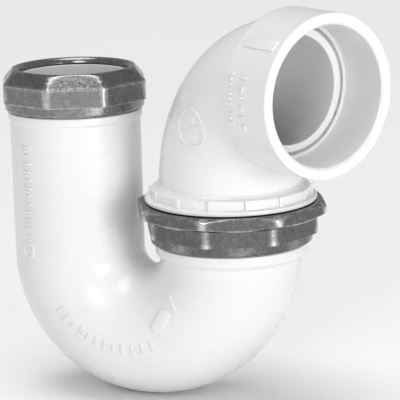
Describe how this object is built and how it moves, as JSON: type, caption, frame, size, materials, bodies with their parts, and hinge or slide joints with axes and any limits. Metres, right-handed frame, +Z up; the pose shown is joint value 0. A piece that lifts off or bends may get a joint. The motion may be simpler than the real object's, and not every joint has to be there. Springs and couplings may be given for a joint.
{
  "type": "p trap",
  "caption": "Drain trap with a white plastic J-bend, a slip-joint inlet under a bright octagon nut, and a union nut joining a swivelling outlet elbow with a solvent-weld hub.",
  "frame": {"origin": "on the inlet axis, at the top of the slip socket's straight wall, 3.2 mm below the inlet rim of the J-bend", "axes": "+Z up along the inlet axis, out of the inlet; +X from the inlet leg towards the union leg; +Y away from the side that the outlet is turned to"},
  "size_m": [0.1503, 0.0851, 0.1473],
  "materials": {
    "white_plastic": "moulded white plastic, glossy, with faint flow marks",
    "black_rubber": "matt black elastomer",
    "bright_plating": "bright plated die casting, slightly mottled",
    "washer_plastic": "soft translucent white plastic"
  },
  "bodies": {
    "bend": {"trap_bend": "white_plastic"},
    "inlet_washer": {"inlet_slip_washer": "washer_plastic"},
    "inlet_nut": {"inlet_slip_nut": "bright_plating"},
    "union_seal": {"union_gasket": "black_rubber"},
    "elbow": {"trap_elbow": "white_plastic", "union_flange_sleeve": "white_plastic"},
    "union_ring": {"union_nut": "bright_plating"}
  },
  "joints": [
    {"name": "inlet_nut_lift", "type": "slide", "parent": "bend", "child": "inlet_washer", "axis": [0, 0, 1], "range_m": [0, 0.00663]},
    {"name": "inlet_nut_turn", "type": "hinge", "parent": "inlet_washer", "child": "inlet_nut", "pos_m": [0, 0, 0], "axis": [0, 0, 1], "range_deg": [0, 1080]},
    {"name": "union_lift", "type": "slide", "parent": "bend", "child": "union_seal", "axis": [0, 0, 1], "range_m": [0, 0.00607]},
    {"name": "union_nut_turn", "type": "hinge", "parent": "union_seal", "child": "union_ring", "pos_m": [0.0618, 0, 0], "axis": [0, 0, 1], "range_deg": [0, 990]},
    {"name": "elbow_swivel", "type": "hinge", "parent": "union_seal", "child": "elbow", "pos_m": [0.0618, 0, 0], "axis": [0, 0, 1], "range_deg": [-80, 135]}
  ],
  "couplings": [
    {"joint": "inlet_nut_turn", "follows": "inlet_nut_lift", "rad_per_m": 2844.4},
    {"joint": "union_nut_turn", "follows": "union_lift", "rad_per_m": 2844.4}
  ]
}
